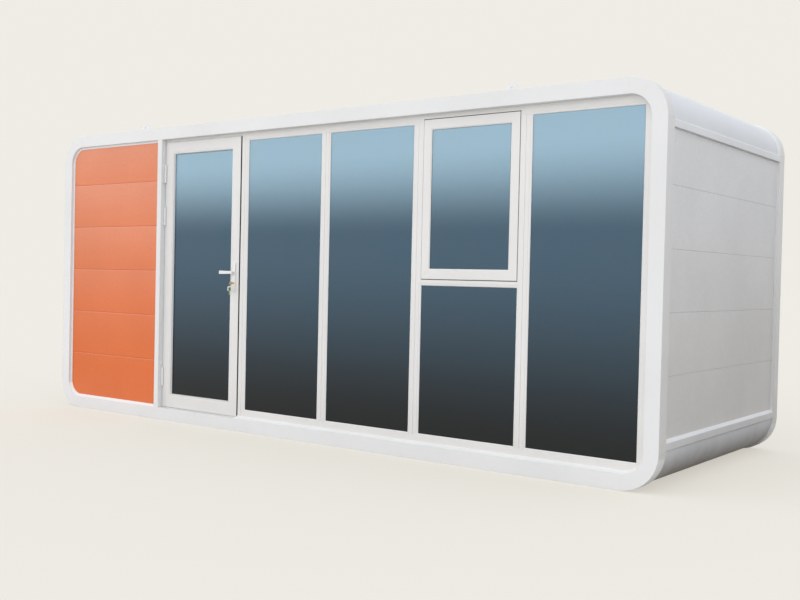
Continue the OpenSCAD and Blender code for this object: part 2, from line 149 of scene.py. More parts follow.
class Shader:
    """Node tree of a material or group, with short ways to add and join nodes."""

    def __init__(self, tree: bpy.types.NodeTree) -> None:
        """Wraps a node tree."""
        self.tree = tree

    def add(self, kind: str, label: str = "", **settings: object) -> Node:
        """Adds a node.

        Args:
            kind: Blender's node type.
            label: words shown on the node.
            settings: node properties to set.

        Returns:
            The new node.
        """
        node = self.tree.nodes.new(kind)
        node.label = label
        for name, value in settings.items():
            setattr(node, name, value)
        return node

    def join(self, source: Socket, target: Socket) -> None:
        """Links one socket to another."""
        self.tree.links.new(source, target)

    def feed(self, target: Socket, value: object) -> None:
        """Links a socket to the target, or sets a plain value on it."""
        if isinstance(value, Socket):
            self.join(value, target)
        else:
            target.default_value = value

    def math(self, operation: str, a: object, b: object, clamp: bool = False) -> Socket:
        """Adds a Math node and returns its result."""
        node = self.add("ShaderNodeMath", operation=operation, use_clamp=clamp)
        self.feed(node.inputs[0], a)
        self.feed(node.inputs[1], b)
        return node.outputs[0]

    def mix(self, factor: object, a: object, b: object) -> Socket:
        """Adds a colour Mix node and returns its result."""
        node = self.add("ShaderNodeMix", data_type="RGBA")
        self.feed(node.inputs["Factor"], factor)
        self.feed(node.inputs["A"], a)
        self.feed(node.inputs["B"], b)
        return node.outputs["Result"]

    def noise(self, vector: Socket, scale: object, detail: float, rough: float = 0.5) -> Socket:
        """Adds a Noise texture and returns its value."""
        node = self.add("ShaderNodeTexNoise")
        self.join(vector, node.inputs["Vector"])
        self.feed(node.inputs["Scale"], scale)
        node.inputs["Detail"].default_value = detail
        node.inputs["Roughness"].default_value = rough
        return node.outputs["Fac"]

    def ramp(self, value: Socket, low: float, high: float) -> Socket:
        """Maps a value from low..high to 0..1 and returns the smooth result."""
        node = self.add("ShaderNodeMapRange", interpolation_type="SMOOTHSTEP")
        self.join(value, node.inputs["Value"])
        node.inputs["From Min"].default_value = low
        node.inputs["From Max"].default_value = high
        return node.outputs["Result"]

    def position(self) -> Socket:
        """Adds Object coordinates and returns them."""
        return self.add("ShaderNodeTexCoord").outputs["Object"]

    def along(self, axis: str) -> Socket:
        """Adds one axis of the Object coordinates and returns it."""
        node = self.add("ShaderNodeSeparateXYZ")
        self.join(self.position(), node.inputs[0])
        return node.outputs[axis]

    def stretched(self, scale: Colour) -> Socket:
        """Adds Object coordinates with a scale for each axis and returns them."""
        node = self.add("ShaderNodeMapping")
        node.inputs["Scale"].default_value = scale
        self.join(self.position(), node.inputs["Vector"])
        return node.outputs["Vector"]


def rgba(colour: Iterable[float]) -> tuple[float, ...]:
    """Adds an opaque alpha to a linear colour."""
    return (*colour, 1.0)


def toned(colour: Colour, share: float) -> tuple[float, ...]:
    """Darkens a linear colour and adds an opaque alpha."""
    return rgba(c * share for c in colour)


class EffectGroup:
    """Shader node group that several finishes place with their own values."""

    name = "effect"
    inputs: tuple[tuple[str, str, float], ...] = ()
    outputs: tuple[tuple[str, str], ...] = ()

    def tree(self) -> bpy.types.NodeTree:
        """Builds the group once and returns its tree."""
        found = bpy.data.node_groups.get(self.name)
        if found is not None:
            return found
        tree = bpy.data.node_groups.new(self.name, "ShaderNodeTree")
        for label, kind, value in self.inputs:
            socket = tree.interface.new_socket(label, in_out="INPUT", socket_type=kind)
            socket.default_value = value
        for label, kind in self.outputs:
            tree.interface.new_socket(label, in_out="OUTPUT", socket_type=kind)
        shader = Shader(tree)
        self.fill(shader, shader.add("NodeGroupInput"), shader.add("NodeGroupOutput"))
        return tree

    def fill(self, shader: Shader, given: Node, result: Node) -> None:
        """Adds the group's nodes."""
        raise NotImplementedError

    def place(self, shader: Shader, **values: float) -> Node:
        """Places the group in a material.

        Args:
            shader: the material's shader.
            values: input values, with spaces in the names written as underscores.

        Returns:
            The group node.
        """
        node = shader.add("ShaderNodeGroup", label=self.name)
        node.node_tree = self.tree()
        for label, value in values.items():
            node.inputs[label.replace("_", " ")].default_value = value
        return node


class PaintMottle(EffectGroup):
    """Slow changes of tone over a painted surface, and its fine orange peel."""

    name = "paint_mottle"
    inputs = (("Patch Scale", "NodeSocketFloat", 1.2), ("Peel Scale", "NodeSocketFloat", 260.0))
    outputs = (("Tone", "NodeSocketFloat"), ("Height", "NodeSocketFloat"))
    patch_detail, peel_detail = 4.0, 2.0
    tone_range = (0.3, 0.7)

    def fill(self, shader: Shader, given: Node, result: Node) -> None:
        """Adds a slow and a fine noise."""
        where = shader.position()
        patches = shader.noise(where, given.outputs["Patch Scale"], self.patch_detail)
        peel = shader.noise(where, given.outputs["Peel Scale"], self.peel_detail)
        shader.join(shader.ramp(patches, *self.tone_range), result.inputs["Tone"])
        shader.join(peel, result.inputs["Height"])


class GroundDustAndShade(EffectGroup):
    """Darkening near the ground that thins out with height: dust splashed up from the ground, and painted
    shade where a finish lays it on thick.
    """

    name = "ground_dust_and_shade"
    inputs = (("Reach", "NodeSocketFloat", 0.5), ("Amount", "NodeSocketFloat", 0.4))
    outputs = (("Mask", "NodeSocketFloat"),)
    patch_scale, patch_detail, patch_rough = 6.0, 6.0, 0.6
    patch_share, even_share = 0.5, 0.55

    def fill(self, shader: Shader, given: Node, result: Node) -> None:
        """Adds a ramp down over height, broken up a little by noise."""
        share = shader.math("DIVIDE", shader.along("Z"), given.outputs["Reach"])
        height_ramp = shader.math("SUBTRACT", 1.0, share, clamp=True)
        noise = shader.noise(shader.position(), self.patch_scale, self.patch_detail, self.patch_rough)
        patches = shader.math("ADD", shader.math("MULTIPLY", noise, self.patch_share), self.even_share)
        broken = shader.math("MULTIPLY", height_ramp, patches)
        mask = shader.math("MULTIPLY", broken, given.outputs["Amount"], clamp=True)
        shader.join(mask, result.inputs["Mask"])


class SheetEmboss(EffectGroup):
    """Pebbled embossing rolled into coated sheet."""

    name = "sheet_emboss"
    inputs = (("Pebble Scale", "NodeSocketFloat", 130.0),)
    outputs = (("Height", "NodeSocketFloat"), ("Pits", "NodeSocketFloat"))
    stretch = (1.0, 1.0, 1.6)
    smoothness = 0.6
    patch_scale, patch_detail = 38.0, 3.0
    pit_range = (0.12, 0.3)

    def fill(self, shader: Shader, given: Node, result: Node) -> None:
        """Adds rounded cells with a little noise."""
        cells = shader.add("ShaderNodeTexVoronoi", feature="SMOOTH_F1")
        shader.join(shader.stretched(self.stretch), cells.inputs["Vector"])
        shader.join(given.outputs["Pebble Scale"], cells.inputs["Scale"])
        cells.inputs["Smoothness"].default_value = self.smoothness
        patch = shader.noise(shader.position(), self.patch_scale, self.patch_detail)
        height = shader.math("MULTIPLY", cells.outputs["Distance"], patch)
        shader.join(height, result.inputs["Height"])
        shader.join(shader.ramp(height, *self.pit_range), result.inputs["Pits"])


@dataclass(frozen=True)
class Finish:
    """Surface finish that becomes one material."""

    name: str
    colour: Colour
    roughness: float
    metallic: float = 0.0
    coat: float = 0.0

    def material(self) -> bpy.types.Material:
        """Builds the material once and returns it."""
        found = bpy.data.materials.get(self.name)
        if found is not None:
            return found
        made = bpy.data.materials.new(self.name)
        made.use_nodes = True
        shader = Shader(made.node_tree)
        surface = made.node_tree.nodes["Principled BSDF"]
        surface.inputs["Base Color"].default_value = rgba(self.colour)
        surface.inputs["Roughness"].default_value = self.roughness
        surface.inputs["Metallic"].default_value = self.metallic
        surface.inputs["Coat Weight"].default_value = self.coat
        self.detail(shader, surface)
        return made

    def detail(self, shader: Shader, surface: Node) -> None:
        """Adds what changes over the surface."""
        raise NotImplementedError

    def roughen(self, shader: Shader, surface: Node, mask: Socket, share: float) -> None:
        """Adds a share of a mask to the finish's roughness."""
        extra = shader.math("MULTIPLY", mask, share)
        shader.join(shader.math("ADD", extra, self.roughness), surface.inputs["Roughness"])

    def bump(self, shader: Shader, surface: Node, height: Socket, depth: float) -> None:
        """Feeds the surface's normal from a height.

        Args:
            shader: the material's shader.
            surface: the Principled node.
            height: the height to read.
            depth: how deep a height of 1 is, in metres.
        """
        node = shader.add("ShaderNodeBump")
        node.inputs["Distance"].default_value = depth
        shader.join(height, node.inputs["Height"])
        shader.join(node.outputs["Normal"], surface.inputs["Normal"])


@dataclass(frozen=True)
class Paint(Finish):
    """Sprayed paint or powder coat with faint patches, orange peel, ground dust that on some finishes is
    mostly painted shade, and painted shade on the cabin's end faces.
    """

    shade: float = 0.95
    patch_gloss: float = 0.08
    peel: float = 0.00012
    peel_scale: float = 260.0
    dust_and_shade: float = 0.35
    dust_and_shade_reach: float = 0.45
    dust_and_shade_colour: Colour = DUST_AND_SHADE
    dust_dull: float = 0.4
    end_painted_shade: float = 0.0
    end_reach: float = 2.0
    end_from: float = 0.0
    end_blend: float = 0.005

    def detail(self, shader: Shader, surface: Node) -> None:
        """Adds patches of tone, dust and painted shade near the ground, painted shade on the end faces, and
        orange peel.
        """
        mottle = PaintMottle().place(shader, Peel_Scale=self.peel_scale)
        dust_and_shade = GroundDustAndShade().place(shader, Reach=self.dust_and_shade_reach, Amount=self.dust_and_shade)
        tone = shader.mix(mottle.outputs["Tone"], rgba(self.colour), toned(self.colour, self.shade))
        # Ground mask: dust, and on the shells and end rails mostly painted shade, darker towards the
        # ground.
        dusty_and_shaded = shader.mix(dust_and_shade.outputs["Mask"], tone, rgba(self.dust_and_shade_colour))
        # Painted shade on the faces at the cabin's ends, darker towards the ground.
        if self.end_painted_shade > 0.0:
            dusty_and_shaded = shader.mix(self.end_shade_mask(shader), dusty_and_shaded, rgba(self.dust_and_shade_colour))
        shader.join(dusty_and_shaded, surface.inputs["Base Color"])
        gloss = shader.math("MULTIPLY", mottle.outputs["Tone"], self.patch_gloss)
        dull = shader.math("MULTIPLY", dust_and_shade.outputs["Mask"], self.dust_dull)
        rough = shader.math("ADD", shader.math("ADD", gloss, dull), self.roughness, clamp=True)
        shader.join(rough, surface.inputs["Roughness"])
        self.bump(shader, surface, mottle.outputs["Height"], self.peel)

    def end_shade_mask(self, shader: Shader) -> Socket:
        """Builds the painted shade on the faces at the two ends of the cabin, darker towards the ground and
        laid on in the dust's colour.

        Args:
            shader: the material's shader.

        Returns:
            Share of the painted shade's colour.
        """
        dust_and_shade = GroundDustAndShade().place(shader, Reach=self.end_reach, Amount=self.end_painted_shade)
        along = shader.math("ABSOLUTE", shader.along("X"), 0.0)
        outer = shader.ramp(along, self.end_from - self.end_blend, self.end_from)
        return shader.math("MULTIPLY", dust_and_shade.outputs["Mask"], outer)


@dataclass(frozen=True)
class EmbossedSheet(Finish):
    """Coated sheet boards with a pebbled emboss, painted light that pales the wall towards its top and a
    painted sheen that pales each board towards its top.
    """

    painted_top_light: Colour = (0.8, 0.8, 0.8)
    top_light_from: float = 0.3
    top_light_to: float = 2.4
    shade: float = 0.965
    patch_scale: float = 1.7
    patch_gloss: float = 0.1
    emboss: float = 0.0012
    pit_share: float = 0.12
    pit_shade_tone: float = 0.6
    dust_and_shade: float = 0.3
    dust_and_shade_reach: float = 0.4
    sheen: Colour = (0.9, 0.9, 0.9)
    sheen_low: float = 0.0
    sheen_high: float = 0.0
    lip: float = 0.012
    lip_highlight_share: float = 0.0
    board_top: float = 0.5
    board_pitch: float = 0.385

    def detail(self, shader: Shader, surface: Node) -> None:
        """Adds painted light towards the top, the painted board sheen, patches, painted shade in the pits,
        dust and painted shade near the ground, and the emboss.
        """
        mottle = PaintMottle().place(shader, Patch_Scale=self.patch_scale)
        emboss = SheetEmboss().place(shader)
        dust_and_shade = GroundDustAndShade().place(shader, Reach=self.dust_and_shade_reach, Amount=self.dust_and_shade)
        height = shader.along("Z")
        # Painted light: the wall pales towards its top.
        height_ramp = shader.ramp(height, self.top_light_from, self.top_light_to)
        wall = shader.mix(height_ramp, rgba(self.colour), rgba(self.painted_top_light))
        # Painted sheen on each board, paler towards its upper edge.
        colour = shader.mix(self.board_sheen(shader, height, height_ramp), wall, rgba(self.sheen))
        patch = shader.mix(mottle.outputs["Tone"], rgba(WHITE), toned(WHITE, self.shade))
        worn = shader.add("ShaderNodeMix", data_type="RGBA", blend_type="MULTIPLY")
        worn.inputs["Factor"].default_value = 1.0
        shader.join(colour, worn.inputs["A"])
        shader.join(patch, worn.inputs["B"])
        # Painted shade in the emboss pits.
        pits = shader.math("MULTIPLY", emboss.outputs["Pits"], self.pit_share)
        pit_shaded = shader.mix(pits, worn.outputs["Result"], toned(self.colour, self.pit_shade_tone))
        # Dust and painted shade near the ground, strongest on the white end boards.
        dusty_and_shaded = shader.mix(dust_and_shade.outputs["Mask"], pit_shaded, rgba(DUST_AND_SHADE))
        shader.join(dusty_and_shaded, surface.inputs["Base Color"])
        self.roughen(shader, surface, mottle.outputs["Tone"], self.patch_gloss)
        self.bump(shader, surface, emboss.outputs["Height"], self.emboss)

    def board_sheen(self, shader: Shader, height: Socket, height_ramp: Socket) -> Socket:
        """Builds the painted sheen that pales each board towards its upper edge, with a painted highlight
        along its rolled lip.

        Args:
            shader: the material's shader.
            height: height above the ground.
            height_ramp: share of the painted light towards the top of the wall, 0 to 1.

        Returns:
            Share of the painted sheen's colour.
        """
        boards = shader.math("DIVIDE", shader.math("SUBTRACT", height, self.board_top), self.board_pitch)
        share = shader.math("FRACT", boards, 0.0)
        slope = shader.math("MULTIPLY", height_ramp, self.sheen_high - self.sheen_low)
        rise = shader.math("MULTIPLY", share, shader.math("ADD", slope, self.sheen_low))
        # Painted highlight along each board's rolled lip.
        edge = shader.ramp(share, 1.0 - self.lip / self.board_pitch, 1.0)
        return shader.math("ADD", rise, shader.math("MULTIPLY", edge, self.lip_highlight_share), clamp=True)


@dataclass(frozen=True)
class TintedGlass(Finish):
    """Blue solar-control glass: half mirror, half see-through, with a painted reflection of sky and ground
    from pale blue at the top to near black at its foot.
    """

    sky_reflection_colour: Colour = (0.47, 0.71, 0.9)
    middle_reflection_colour: Colour = (0.092, 0.172, 0.255)
    foot: float = 0.15
    middle: float = 1.55
    top: float = 2.18
    transmission: float = 0.55
    ior: float = 1.52
    film_scale: float = 3.0
    film_detail: float = 5.0
    film_range: tuple[float, float] = (0.35, 0.75)
    film_share: float = 0.02
    wave_scale: float = 1.1
    wave_detail: float = 1.0
    wave: float = 0.0015

    def detail(self, shader: Shader, surface: Node) -> None:
        """Adds the painted sky and ground reflection, a thin film of dirt and a faint waviness."""
        surface.inputs["Transmission Weight"].default_value = self.transmission
        surface.inputs["IOR"].default_value = self.ior
        where, height = shader.position(), shader.along("Z")
        # Painted reflection: the glass's dark foot colour, dark blue in the middle and pale sky blue at the
        # top.
        lower = shader.ramp(height, self.foot, self.middle)
        upper = shader.ramp(height, self.middle, self.top)
        lower_reflection = shader.mix(lower, rgba(self.colour), rgba(self.middle_reflection_colour))
        shader.join(shader.mix(upper, lower_reflection, rgba(self.sky_reflection_colour)), surface.inputs["Base Color"])
        film = shader.ramp(shader.noise(where, self.film_scale, self.film_detail), *self.film_range)
        self.roughen(shader, surface, film, self.film_share)
        self.bump(shader, surface, shader.noise(where, self.wave_scale, self.wave_detail), self.wave)


@dataclass(frozen=True)
class Rubber(Finish):
    """Extruded rubber or silicone with chalky patches."""

    patch_scale: float = 9.0
    chalk_gain: float = 2.2
    chalk_lift: float = 0.01
    chalk_share: float = 0.5
    grain_scale: float = 700.0
    grain: float = 0.0002

    def detail(self, shader: Shader, surface: Node) -> None:
        """Adds chalky patches and a fine grain."""
        mottle = PaintMottle().place(shader, Patch_Scale=self.patch_scale, Peel_Scale=self.grain_scale)
        chalk = rgba(min(1.0, c * self.chalk_gain + self.chalk_lift) for c in self.colour)
        share = shader.math("MULTIPLY", mottle.outputs["Tone"], self.chalk_share)
        shader.join(shader.mix(share, rgba(self.colour), chalk), surface.inputs["Base Color"])
        self.bump(shader, surface, mottle.outputs["Height"], self.grain)


@dataclass(frozen=True)
class BrushedMetal(Finish):
    """Bare metal with fine scratches and duller patches."""

    stretch: Colour = (12.0, 12.0, 900.0)
    scratch_detail: float = 6.0
    scratch_rough: float = 0.7
    scratch_share: float = 0.2
    scratch_depth: float = 0.00008
    patch_scale: float = 30.0
    shade: float = 0.8

    def detail(self, shader: Shader, surface: Node) -> None:
        """Adds stretched scratches and patches of dullness."""
        scratch = shader.noise(shader.stretched(self.stretch), 1.0, self.scratch_detail, self.scratch_rough)
        mottle = PaintMottle().place(shader, Patch_Scale=self.patch_scale)
        tone = shader.mix(mottle.outputs["Tone"], rgba(self.colour), toned(self.colour, self.shade))
        shader.join(tone, surface.inputs["Base Color"])
        self.roughen(shader, surface, scratch, self.scratch_share)
        self.bump(shader, surface, scratch, self.scratch_depth)


@dataclass(frozen=True)
class PlankFloor(Finish):
    """Printed wood floor in planks along the cabin."""

    plank: tuple[float, float] = (1.2, 0.18)
    offset: float = 0.37
    joint: float = 0.0015
    joint_tone: float = 0.3
    other_tone: float = 0.78
    grain_stretch: Colour = (1.2, 26.0, 26.0)
    grain_scale: float = 2.0
    grain_detail: float = 8.0
    grain_rough: float = 0.6
    grain_range: tuple[float, float] = (0.35, 0.7)
    grain_share: float = 0.45
    grain_tone: float = 0.5
    grain_gloss: float = 0.15
    grain_depth: float = 0.0004

    def detail(self, shader: Shader, surface: Node) -> None:
        """Adds planks with their own tone, grain and joints."""
        planks = shader.add("ShaderNodeTexBrick", offset=self.offset)
        shader.join(shader.position(), planks.inputs["Vector"])
        values = {
            "Scale": 1.0,
            "Brick Width": self.plank[0],
            "Row Height": self.plank[1],
            "Mortar Size": self.joint,
            "Color1": rgba(self.colour),
            "Color2": toned(self.colour, self.other_tone),
            "Mortar": toned(self.colour, self.joint_tone),
        }
        for name, value in values.items():
            planks.inputs[name].default_value = value
        stretched = shader.stretched(self.grain_stretch)
        grain = shader.noise(stretched, self.grain_scale, self.grain_detail, self.grain_rough)
        dark = shader.math("MULTIPLY", shader.ramp(grain, *self.grain_range), self.grain_share)
        tone = shader.mix(dark, planks.outputs["Color"], toned(self.colour, self.grain_tone))
        shader.join(tone, surface.inputs["Base Color"])
        self.roughen(shader, surface, grain, self.grain_gloss)
        self.bump(shader, surface, grain, self.grain_depth)


END_SKIN = 0.0005
# The hoop's end dust is painted shade on the end faces, darker towards the ground.
HOOP_PAINT = Paint(
    "hoop_white_satin", (0.83, 0.83, 0.825), 0.36, coat=0.15, dust_and_shade=0.06, dust_and_shade_reach=0.4,
    end_painted_shade=0.56, end_from=cad_box[1][0] - END_SKIN,
)
# The shells' heavy brown dust is mostly painted shade on the lower shells.
SHELL_PAINT = Paint(
    "shell_white_satin", (0.82, 0.845, 0.88), 0.42, dust_and_shade=1.0, dust_and_shade_reach=0.36,
    dust_and_shade_colour=(0.24, 0.19, 0.14),
)
# The rails' heavy dust is mostly painted shade, darker towards the foot of the end walls.
RAIL_PAINT = Paint(
    "rail_white_satin", (0.87, 0.885, 0.905), 0.36, coat=0.15, dust_and_shade=1.0, dust_and_shade_reach=0.62,
    dust_and_shade_colour=(0.4, 0.36, 0.31),
)
TRIM_PAINT = Paint("trim_white_satin", (0.84, 0.845, 0.85), 0.4, dust_and_shade=0.12, dust_and_shade_reach=0.4)
BEAD_COAT = Paint("bead_bright_white", (0.9, 0.895, 0.885), 0.35, dust_and_shade=0.05)
FRAME_COAT = Paint("frame_warm_white_powder", (0.82, 0.81, 0.785), 0.45, peel=0.0002, dust_and_shade=0.25)
HARDWARE = Paint("hardware_gloss_white", (0.86, 0.86, 0.85), 0.22, coat=0.4, dust_and_shade=0.0)
# The white boards' pale top is painted light, and their tall dust is painted shade towards the foot.
WHITE_BOARD = EmbossedSheet(
    "board_white_embossed", (0.78, 0.765, 0.745), 0.48, painted_top_light=(0.87, 0.875, 0.885),
    emboss=0.0007, dust_and_shade=0.42, dust_and_shade_reach=2.1,
)
# The orange boards' pale top is painted light; their sheen and lip are a painted sheen and highlight on
# each board.
ORANGE_BOARD = EmbossedSheet(
    "board_orange_embossed", (0.795, 0.162, 0.027), 0.42, painted_top_light=(0.855, 0.265, 0.122),
    shade=0.95, dust_and_shade=0.05, sheen=(0.9, 0.38, 0.25), sheen_high=0.56, lip_highlight_share=0.45,
)
# The glass's dark colour holds at its foot, under a painted reflection of sky and ground.
GLASS = TintedGlass("glass_blue_solar", (0.022, 0.025, 0.027), 0.012, metallic=0.55)
RUBBER = Rubber("seal_black_rubber", (0.018, 0.018, 0.02), 0.75)
SILICONE = Rubber("gasket_grey_silicone", (0.1, 0.103, 0.108), 0.6)
PALE_SEAL = Rubber("seal_pale_grey", (0.55, 0.55, 0.555), 0.6)
TAG_GREEN = Paint("tag_green_plastic", (0.03, 0.2, 0.11), 0.35, dust_and_shade=0.0)
STEEL = BrushedMetal("stay_brushed_steel", (0.58, 0.58, 0.59), 0.28, metallic=1.0)
BRASS = BrushedMetal("lock_satin_brass", (0.76, 0.58, 0.2), 0.25, metallic=1.0)
FLOOR = PlankFloor("floor_wood_planks", (0.3, 0.23, 0.17), 0.45)


def solid_copy(node: str) -> BMesh:
    """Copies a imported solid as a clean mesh.

    Args:
        node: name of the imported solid.

    Returns:
        The mesh with its doubles merged and its flat faces whole.
    """
    bm = bmesh.new()
    bm.from_mesh(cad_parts[node].data)
    bmesh.ops.remove_doubles(bm, verts=bm.verts, dist=MERGE)
    bmesh.ops.dissolve_limit(bm, angle_limit=FLAT_ANGLE, verts=bm.verts, edges=bm.edges)
    return bm


def sharp_edges(bm: BMesh, keep: Callable[[BMEdge], bool] = lambda edge: True) -> list[BMEdge]:
    """Lists the edges where two faces meet at a clear angle.

    Args:
        bm: the mesh.
        keep: test that an edge has to pass as well.

    Returns:
        The edges.
    """
    return [e for e in bm.edges if e.is_manifold and e.calc_face_angle(0.0) > SHARP_ANGLE and keep(e)]


def ease(bm: BMesh, edges: Sequence[BMEdge], width: float, segments: int = FINE_STEPS) -> None:
    """Rounds edges.

    Args:
        bm: the mesh.
        edges: the edges to round.
        width: how far the rounding reaches along each face, in metres.
        segments: faces across the rounding.
    """
    bmesh.ops.bevel(
        bm, geom=list(edges), offset=width, offset_type="OFFSET", segments=segments, profile=0.5,
        affect="EDGES", clamp_overlap=True, material=-1,
    )


def piece(
    bm: BMesh,
    name: str,
    body: Body,
    finish: Finish,
    replaces: Iterable[str] = (),
) -> None:
    """Turns a mesh into a dressed piece that rides on its body.

    Args:
        bm: the mesh, which is used up.
        name: the piece's name.
        body: the body that carries it.
        finish: its finish.
        replaces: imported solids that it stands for.
    """
    mesh = bpy.data.meshes.new(name)
    bm.to_mesh(mesh)
    bm.free()
    mesh.shade_smooth()
    mesh.set_sharp_from_angle(angle=SHARP_ANGLE)
    mesh.materials.append(finish.material())
    made = bpy.data.objects.new(name, mesh)
    bpy.context.scene.collection.objects.link(made)
    steady = made.modifiers.new("flat_faces", "WEIGHTED_NORMAL")
    steady.keep_sharp = True
    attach(made, body.value)
    for node in replaces:
        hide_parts(node)
    log.info("%s rides on %s", name, body.value)


def eased_solid(
    node: str,
    name: str,
    body: Body,
    finish: Finish,
    width: float,
    segments: int = FINE_STEPS,
) -> None:
    """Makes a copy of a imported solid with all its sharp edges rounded.

    Args:
        node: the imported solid.
        name: the new piece's name.
        body: the body that carries it.
        finish: its finish.
        width: the rounding's width.
        segments: faces across the rounding.
    """
    bm = solid_copy(node)
    ease(bm, sharp_edges(bm), width, segments)
    piece(bm, name, body, finish, [node])


def mitred_frame(bm: BMesh, outer: Rect, inner: Rect, y0: float, y1: float) -> list[BMFace]:
    """Adds four bars that meet at mitres between two rectangles.

    Args:
        bm: the mesh to add to.
        outer: outline of the frame.
        inner: outline of its opening.
        y0: front plane.
        y1: back plane.

    Returns:
        The bars' front faces.
    """
    loops: list[list[BMEdge]] = []
    for rect in (outer, inner):
        ring = [bm.verts.new(corner) for corner in rect.corners(y0)]
        loops.append([bm.edges.new((ring[i], ring[(i + 1) % 4])) for i in range(4)])
    bridged = bmesh.ops.bridge_loops(bm, edges=loops[0] + loops[1])
    fronts = list(bridged["faces"])
    mitres = list(bridged["edges"])
    bmesh.ops.split_edges(bm, edges=mitres)
    backs = bmesh.ops.extrude_face_region(bm, geom=fronts, use_keep_orig=True)
    moved = [item for item in backs["geom"] if isinstance(item, BMVert)]
    bmesh.ops.translate(bm, verts=moved, vec=(0.0, y1 - y0, 0.0))
    bmesh.ops.recalc_face_normals(bm, faces=bm.faces)
    return fronts


def bar(bm: BMesh, low: Vector, high: Vector) -> None:
    """Adds a box between two corners."""
    made = bmesh.ops.create_cube(bm, size=1.0)["verts"]
    bmesh.ops.scale(bm, vec=high - low, verts=made)
    bmesh.ops.translate(bm, vec=(low + high) / 2, verts=made)


class Sweep:
    """Closed profile drawn along straight runs and turns about Y."""

    turn_steps = 14

    def __init__(self, bm: BMesh, profile: Sequence[Vector]) -> None:
        """Starts with the profile.

        Args:
            bm: the mesh to add to.
            profile: corners of the profile, in order.
        """
        self.bm = bm
        ring = [bm.verts.new(corner) for corner in profile]
        self.end = [bm.edges.new(pair) for pair in zip(ring, ring[1:] + ring[:1])]

    def run(self, along: Vector) -> None:
        """Draws the profile straight on."""
        made = bmesh.ops.extrude_edge_only(self.bm, edges=self.end)["geom"]
        moved = {item for item in made if isinstance(item, BMVert)}
        bmesh.ops.translate(self.bm, verts=list(moved), vec=along)
        self.end = [item for item in made if isinstance(item, BMEdge) and moved.issuperset(item.verts)]

    def turn(self, centre: Vector, angle: float) -> None:
        """Turns the profile about Y.

        Args:
            centre: a point on the axis.
            angle: the turn in radians.
        """
        corners = {vert for edge in self.end for vert in edge.verts}
        made = bmesh.ops.spin(
            self.bm, geom=[*corners, *self.end], cent=centre, axis=(0, 1, 0), angle=angle,
            steps=self.turn_steps,
        )
        self.end = [item for item in made["geom_last"] if isinstance(item, BMEdge)]

    def close(self) -> None:
        """Caps both ends and points the faces outwards."""
        rims = [edge for edge in self.bm.edges if edge.is_boundary]
        bmesh.ops.holes_fill(self.bm, edges=rims, sides=0)
        bmesh.ops.recalc_face_normals(self.bm, faces=self.bm.faces)


@dataclass
class Hoops:
    """The two flat-faced hoops, welded from beams, posts and curved corner pieces."""

    edge: float = 0.004
    weld: float = 0.0011

    def build(self) -> None:
        """Makes every piece of both hoops."""
        for end in ("front", "back"):
            for part in ("top_beam", "bottom_beam", "posts", "corner_pieces"):
                self.member(f"{end}_{part}", f"hoop_{end}_{part}")

    def member(self, node: str, name: str) -> None:
        """Makes one member with round long edges and fine weld lines at its ends.

        Args:
            node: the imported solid.
            name: the new piece's name.
        """
        bm = solid_copy(node)
        ease(bm, sharp_edges(bm, lambda edge: not self.at_joint(edge)), self.edge, ROUND_STEPS)
        ease(bm, sharp_edges(bm, self.at_joint), self.weld, WELD_STEPS)
        piece(bm, name, Body.CABIN, HOOP_PAINT, [node])

    def at_joint(self, edge: BMEdge) -> bool:
        """Tells whether an edge lies on a plane where two members meet."""
        return any(all(abs(self.station(v)[axis]) < NEAR for v in edge.verts) for axis in (0, 1))

    def station(self, vert: BMVert) -> tuple[float, float]:
        """Measures a point from the joint planes along X and along Z."""
        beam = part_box("front_top_beam")
        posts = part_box("front_posts")
        near_z = min(abs(vert.co.z - posts[0].z), abs(vert.co.z - posts[1].z))
        return abs(vert.co.x) - beam[1].x, near_z


@dataclass
class Shell:
    """Corner shells, roof, pan and floor between the hoops."""

    edge: float = 0.003
    floor_edge: float = 0.001
    fillet_along: float = 0.016
    fillet_out: float = 0.009
    fillet_seat: float = 0.001

    def build(self) -> None:
        """Makes the skins and the floor."""
        self.fillets()
        for node in ("top_corner_shells", "bottom_corner_shells", "roof_panel", "underfloor_pan"):
            eased_solid(node, f"skin_{node}", Body.CABIN, SHELL_PAINT, self.edge)
        eased_solid("floor_deck", "plank_floor", Body.CABIN, FLOOR, self.floor_edge)

    def fillets(self) -> None:
        """Fills the joints between the hoops and the curved upper shells."""
        shell_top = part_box("top_corner_shells")[1].z
        seat, along, out = -self.fillet_seat, self.fillet_along, self.fillet_out
        section = ((seat, seat), (seat, out), (along, seat))
        bm = bmesh.new()
        for hoop, inwards in (("front", 1), ("back", -1)):
            beam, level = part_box(f"{hoop}_top_beam"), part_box(f"{hoop}_posts")[1].z
            joint = beam[1].y if inwards > 0 else beam[0].y
            for centre, outwards in ((beam[0].x, -1), (beam[1].x, 1)):
                foot = centre + outwards * (shell_top - level)
                start = [
                    Vector((foot + outwards * rise, joint + inwards * deep, level))
                    for deep, rise in section
                ]
                sweep = Sweep(bm, start)
                sweep.turn(Vector((centre, 0.0, level)), -outwards * QUARTER_TURN)
                sweep.close()
        piece(bm, "shell_joint_fillets", Body.CABIN, BEAD_COAT)


